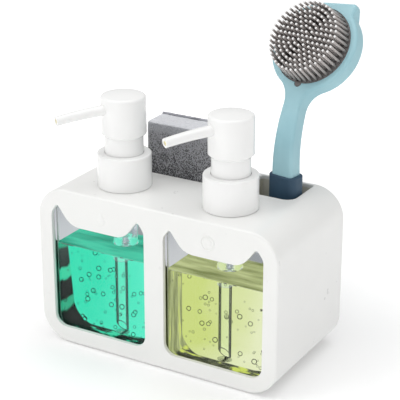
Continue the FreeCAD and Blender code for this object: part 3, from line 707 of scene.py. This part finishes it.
mat_finish, tree, shader = start_finish("sponge_scourer", Roughness=0.9)
along = pattern(tree, "Noise", fibre_scale, stretch=(fibre_stretch, 1, 1), Detail=4.0)
across = pattern(tree, "Noise", fibre_scale, stretch=(1, 1, fibre_stretch), Detail=4.0)
fibres = ramp(tree, along, (0.35, tint(112, 113, 118)), (0.65, tint(170, 171, 178)))
tree.links.new(fibres, shader.inputs["Base Color"])
add_bump(tree, shader, along, fibre_height)
add_bump(tree, shader, across, fibre_height)
mat = finish_piece("scouring_layer", mat_shape, mat_finish, "sponge", ["sponge_scourer"])

# %% [markdown]
# The brush head holds rings of silicone bristles that lean in a little towards the middle. First the
# head's place is worked out from the handle: it rises out of the grip, bends back by 36 degrees and
# runs on to the middle of the head. A matrix keeps that place, with Z out of the bristle face and Y
# up along it, so that the bristles can be placed on a flat disc.

# %% Place of the brush head
brush_turn = math.radians(10)
brush_lean = math.radians(36)
bend_start = 130.0 * mm
bend_radius = 90.7 * mm
head_reach = 22.3 * mm
pad_face = 5.7 * mm

grip_low, grip_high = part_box("brush_grip")
brush_axis = (grip_low + grip_high) / 2
head_back = bend_radius * (1 - math.cos(brush_lean)) + head_reach * math.sin(brush_lean)
head_rise = bend_start + bend_radius * math.sin(brush_lean) + head_reach * math.cos(brush_lean)
brush_place = (Matrix.Translation((brush_axis.x, brush_axis.y, 0)) @ Matrix.Rotation(-brush_turn, 4, "Z")
               @ Matrix.Translation((0, head_back, head_rise))
               @ Matrix.Rotation(math.radians(90) - brush_lean, 4, "X"))
print("brush head at", [round(v, 4) for v in brush_place.translation])

# %% [markdown]
# Each bristle is a short tapered peg with a rounded tip, which is a cone with its top edge bevelled.
# The same helper makes the bed of the bristles here, and the pale plugs in the spouts later.

# %% Helper for pegs
peg_round_steps = 2


def add_peg(shape, place, radius_low, radius_high, length, rounding, segments):
    """A tapered peg whose upper edge is rounded."""
    made = bmesh.ops.create_cone(shape, cap_ends=True, segments=segments, radius1=radius_low,
                                 radius2=radius_high, depth=length, matrix=place)
    back = place.inverted()
    upper = {vert for vert in made["verts"] if (back @ vert.co).z > 0}
    rim = {edge for vert in upper for edge in vert.link_edges if edge.other_vert(vert) in upper}
    bmesh.ops.bevel(shape, geom=list(rim), offset=rounding, offset_type="OFFSET", affect="EDGES",
                    segments=peg_round_steps, profile=0.5, material=-1)


print("peg helper ready")

# %% [markdown]
# A loop puts a peg at every place of every ring. A point attribute, 0 at the root and 1 at the tip,
# lets the finish show the pale tips and the shade between the roots.

# %% Bristles
bed_radius = 26.6 * mm
bed_depth = 2.0 * mm
bed_round = 0.6 * mm
bed_sides = 72
tail_sides = 24
tail_radius = 2.6 * mm
bristle_length = 15.5 * mm
bristle_root_radius = 0.95 * mm
bristle_tip_radius = 0.82 * mm
bristle_tip_round = 0.25 * mm
bristle_sides = 8
bristle_rings = 7
bristle_root_ring = 25.2 * mm
bristle_tip_ring = 23.6 * mm
bristle_grain = 1500.0
bristle_grain_height = 0.05 * mm


def bristle_ends():
    """Root and tip of every bristle, ring by ring from the middle, in the head's own place."""
    for ring in range(bristle_rings + 1):
        count = max(6 * ring, 1)
        for step in range(count):
            angle = 2 * math.pi * step / count
            across = Vector((math.cos(angle), math.sin(angle), 0)) * (ring / bristle_rings)
            yield (across * bristle_root_ring + Vector((0, 0, pad_face - bed_depth / 2)),
                   across * bristle_tip_ring + Vector((0, 0, pad_face + bristle_length)))


def make_bristles():
    shape = bmesh.new()
    add_peg(shape, brush_place @ Matrix.Translation((0, 0, pad_face - bed_depth / 2)), bed_radius, bed_radius,
            bed_depth, bed_round, bed_sides)
    add_peg(shape, brush_place @ Matrix.Translation((0, -bed_radius, pad_face - bed_depth / 2)), tail_radius,
            tail_radius, bed_depth, bed_round, tail_sides)
    for root, tip in bristle_ends():
        along = (tip - root).to_track_quat("Z", "Y").to_matrix().to_4x4()
        add_peg(shape, brush_place @ Matrix.Translation((root + tip) / 2) @ along, bristle_root_radius,
                bristle_tip_radius, (tip - root).length, bristle_tip_round, bristle_sides)
    to_tip = shape.verts.layers.float.new("to_tip")
    back = brush_place.inverted()
    for vert in shape.verts:
        vert[to_tip] = max(0.0, ((back @ vert.co).z - pad_face) / bristle_length)
    return shape


bristle_finish, tree, shader = start_finish("bristle_grey", Roughness=0.5)
to_tip = tree.nodes.new("ShaderNodeAttribute")
to_tip.attribute_name = "to_tip"
bristle_colour = ramp(tree, to_tip.outputs["Fac"], (0.0, tint(104, 100, 99)), (0.3, tint(172, 166, 163)),
                      (0.955, tint(184, 178, 175)), (0.975, tint(232, 231, 230)))
tree.links.new(bristle_colour, shader.inputs["Base Color"])
add_bump(tree, shader, pattern(tree, "Noise", bristle_grain, Detail=2.0), bristle_grain_height)
finish_piece("bristle_field", make_bristles(), bristle_finish, "brush", ["brush_bristles"])

# %% [markdown]
# At the end of each spout the bore shows pale yellow. It is a short round plug just inside the tip,
# so the spout's own pale rim stays in front of it. The spout's place follows from the pump's axis, its
# own turn and the slope at its tip.

# %% Pale yellow plugs in the spouts
spout_turn = {"left": math.radians(239), "right": math.radians(241)}
spout_reach = 47.4 * mm
spout_tip_drop = 11.7 * mm
spout_tip_slope = math.radians(7.3)
plug_radius = 1.66 * mm
plug_depth = 3.0 * mm
plug_inset = 0.5 * mm
plug_round = 0.3 * mm
plug_sides = 20

# A pale yellow finish for the plugs in the bores.
plug_finish = moulded("pale_yellow_plug", tint(226, 214, 150), tint(240, 232, 184), (0.25, 0.45), drift=400.0)


def make_bore_plug(side):
    collar_low, collar_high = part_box(side + "_collar")
    head_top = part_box(side + "_head")[1].z
    middle = (collar_low + collar_high) / 2
    place = (Matrix.Translation((middle.x, middle.y, head_top - spout_tip_drop))
             @ Matrix.Rotation(spout_turn[side], 4, "Z") @ Matrix.Translation((spout_reach, 0, 0))
             @ Matrix.Rotation(math.radians(90) + spout_tip_slope, 4, "Y")
             @ Matrix.Translation((0, 0, -plug_inset - plug_depth / 2)))
    shape = bmesh.new()
    add_peg(shape, place, plug_radius, plug_radius, plug_depth, plug_round, plug_sides)
    finish_piece(side + "_spout_plug", shape, plug_finish, side + "_head")


for side in sides:
    make_bore_plug(side)

# %% [markdown]
# Above each window the housing has a plain tab. A small sign in low relief tells the two soaps apart:
# a drop on the left and a plate on the right. The drop is a ball whose upper half is drawn to a point
# and which is then pressed flat. The plate is a ring, which is a small circle spun once round, with a
# flat dome in its middle.

# %% Signs on the tabs
sign_height = 98.0 * mm
sign_relief = 0.45 * mm
drop_radius = 3.4 * mm
drop_stretch = 1.8
drop_taper = 0.35
drop_sides = 32
drop_rows = 20
plate_radius = 4.6 * mm
plate_well = 2.8 * mm
well_sides = 32
well_rows = 16
ring_radius = 0.5 * mm
ring_merge = 0.01 * mm
ring_sides = 12
ring_steps = 48


def tab_place(side):
    """Middle of the tab above a window, on the housing's front face."""
    collar_low, collar_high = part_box(side + "_collar")
    return Vector(((collar_low.x + collar_high.x) / 2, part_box("housing")[0].y, sign_height))


def make_drop(place):
    shape = bmesh.new()
    bmesh.ops.create_uvsphere(shape, u_segments=drop_sides, v_segments=drop_rows, radius=drop_radius)
    for vert in shape.verts:
        if vert.co.z > 0:
            share = min(vert.co.z / drop_radius, 1.0)
            vert.co.x *= (1 - share) ** drop_taper
            vert.co.z *= 1 + (drop_stretch - 1) * share
    bmesh.ops.scale(shape, vec=(1, sign_relief / drop_radius, 1), verts=shape.verts)
    bmesh.ops.translate(shape, vec=place - Vector((0, 0, drop_radius / 2)), verts=shape.verts)
    return shape


def make_plate(place):
    shape = bmesh.new()
    ring = bmesh.ops.create_circle(shape, segments=ring_sides, radius=ring_radius,
                                   matrix=Matrix.Translation((plate_radius, 0, 0)))
    edges = list({edge for vert in ring["verts"] for edge in vert.link_edges})
    bmesh.ops.spin(shape, geom=ring["verts"] + edges, cent=(0, 0, 0), axis=(0, 1, 0), dvec=(0, 0, 0),
                   angle=2 * math.pi, steps=ring_steps, use_merge=True)
    well = bmesh.ops.create_uvsphere(shape, u_segments=well_sides, v_segments=well_rows, radius=plate_well)
    bmesh.ops.scale(shape, vec=(1, ring_radius / plate_well, 1), verts=well["verts"])
    bmesh.ops.remove_doubles(shape, verts=shape.verts, dist=ring_merge)
    bmesh.ops.recalc_face_normals(shape, faces=shape.faces)
    bmesh.ops.scale(shape, vec=(1, sign_relief / ring_radius, 1), verts=shape.verts)
    bmesh.ops.translate(shape, vec=place, verts=shape.verts)
    return shape


finish_piece("left_sign", make_drop(tab_place("left")), housing_white, "caddy")
finish_piece("right_sign", make_plate(tab_place("right")), housing_white, "caddy")

# %% [markdown]
# The floor is a wide pale sheet under the object. It glows a little more with distance, which keeps
# the background white while the shadow near the caddy stays.

# %% Floor
floor_size = 8.0
floor_grey = 0.92
floor_glow = (0.11, 0.36)
glow_reach = (0.10, 0.45)

floor_shape = bmesh.new()
bmesh.ops.create_grid(floor_shape, x_segments=1, y_segments=1, size=floor_size / 2)
floor_mesh = bpy.data.meshes.new("floor")
floor_shape.to_mesh(floor_mesh)
floor_shape.free()
floor = bpy.data.objects.new("floor", floor_mesh)
floor_finish, tree, shader = start_finish("floor_white", Base_Color=(floor_grey, floor_grey, floor_grey, 1.0),
                                          Roughness=0.8, Emission_Strength=1.0)
spread = [calc(tree, "POWER", axis(tree, letter), 2.0) for letter in ("X", "Y")]
spread = calc(tree, "SQRT", calc(tree, "ADD", *spread))
tree.links.new(ramp(tree, spread, *zip(glow_reach, floor_glow)), shader.inputs["Emission Color"])
floor_mesh.materials.append(floor_finish)
scene.collection.objects.link(floor)
print("floor", floor_size, "m wide")

# %% [markdown]
# The light is a bright even room with three soft boxes. A large one in front on the left shapes the
# front, another overhead lights the deck and the tops of the pumps, and a smaller one in front on the
# right fills the shade.

# %% Light
world_strength = 0.57
key_energy = 11.0
key_size = 1.2
key_place = (-0.95, -0.95, 1.65)
top_energy = 6.5
top_size = 1.0
top_place = (0.2, 0.1, 1.5)
fill_energy = 2.2
fill_size = 0.5
fill_place = (0.45, -1.35, 0.70)
light_aim = Vector((0, 0, 0.08))

world = bpy.data.worlds.new("studio")
scene.world = world
world.use_nodes = True
world.node_tree.nodes["Background"].inputs["Color"].default_value = (1.0, 1.0, 1.0, 1.0)
world.node_tree.nodes["Background"].inputs["Strength"].default_value = world_strength


def soft_box(name, place, size, energy):
    """A square area light that looks at the caddy."""
    data = bpy.data.lights.new(name, "AREA")
    data.size = size
    data.energy = energy
    light = bpy.data.objects.new(name, data)
    light.location = place
    aim = light_aim - Vector(place)
    light.rotation_euler = aim.to_track_quat("-Z", "Y").to_euler()
    scene.collection.objects.link(light)


soft_box("key_light", key_place, key_size, key_energy)
soft_box("top_light", top_place, top_size, top_energy)
soft_box("fill_light", fill_place, fill_size, fill_energy)
print("three soft boxes set")
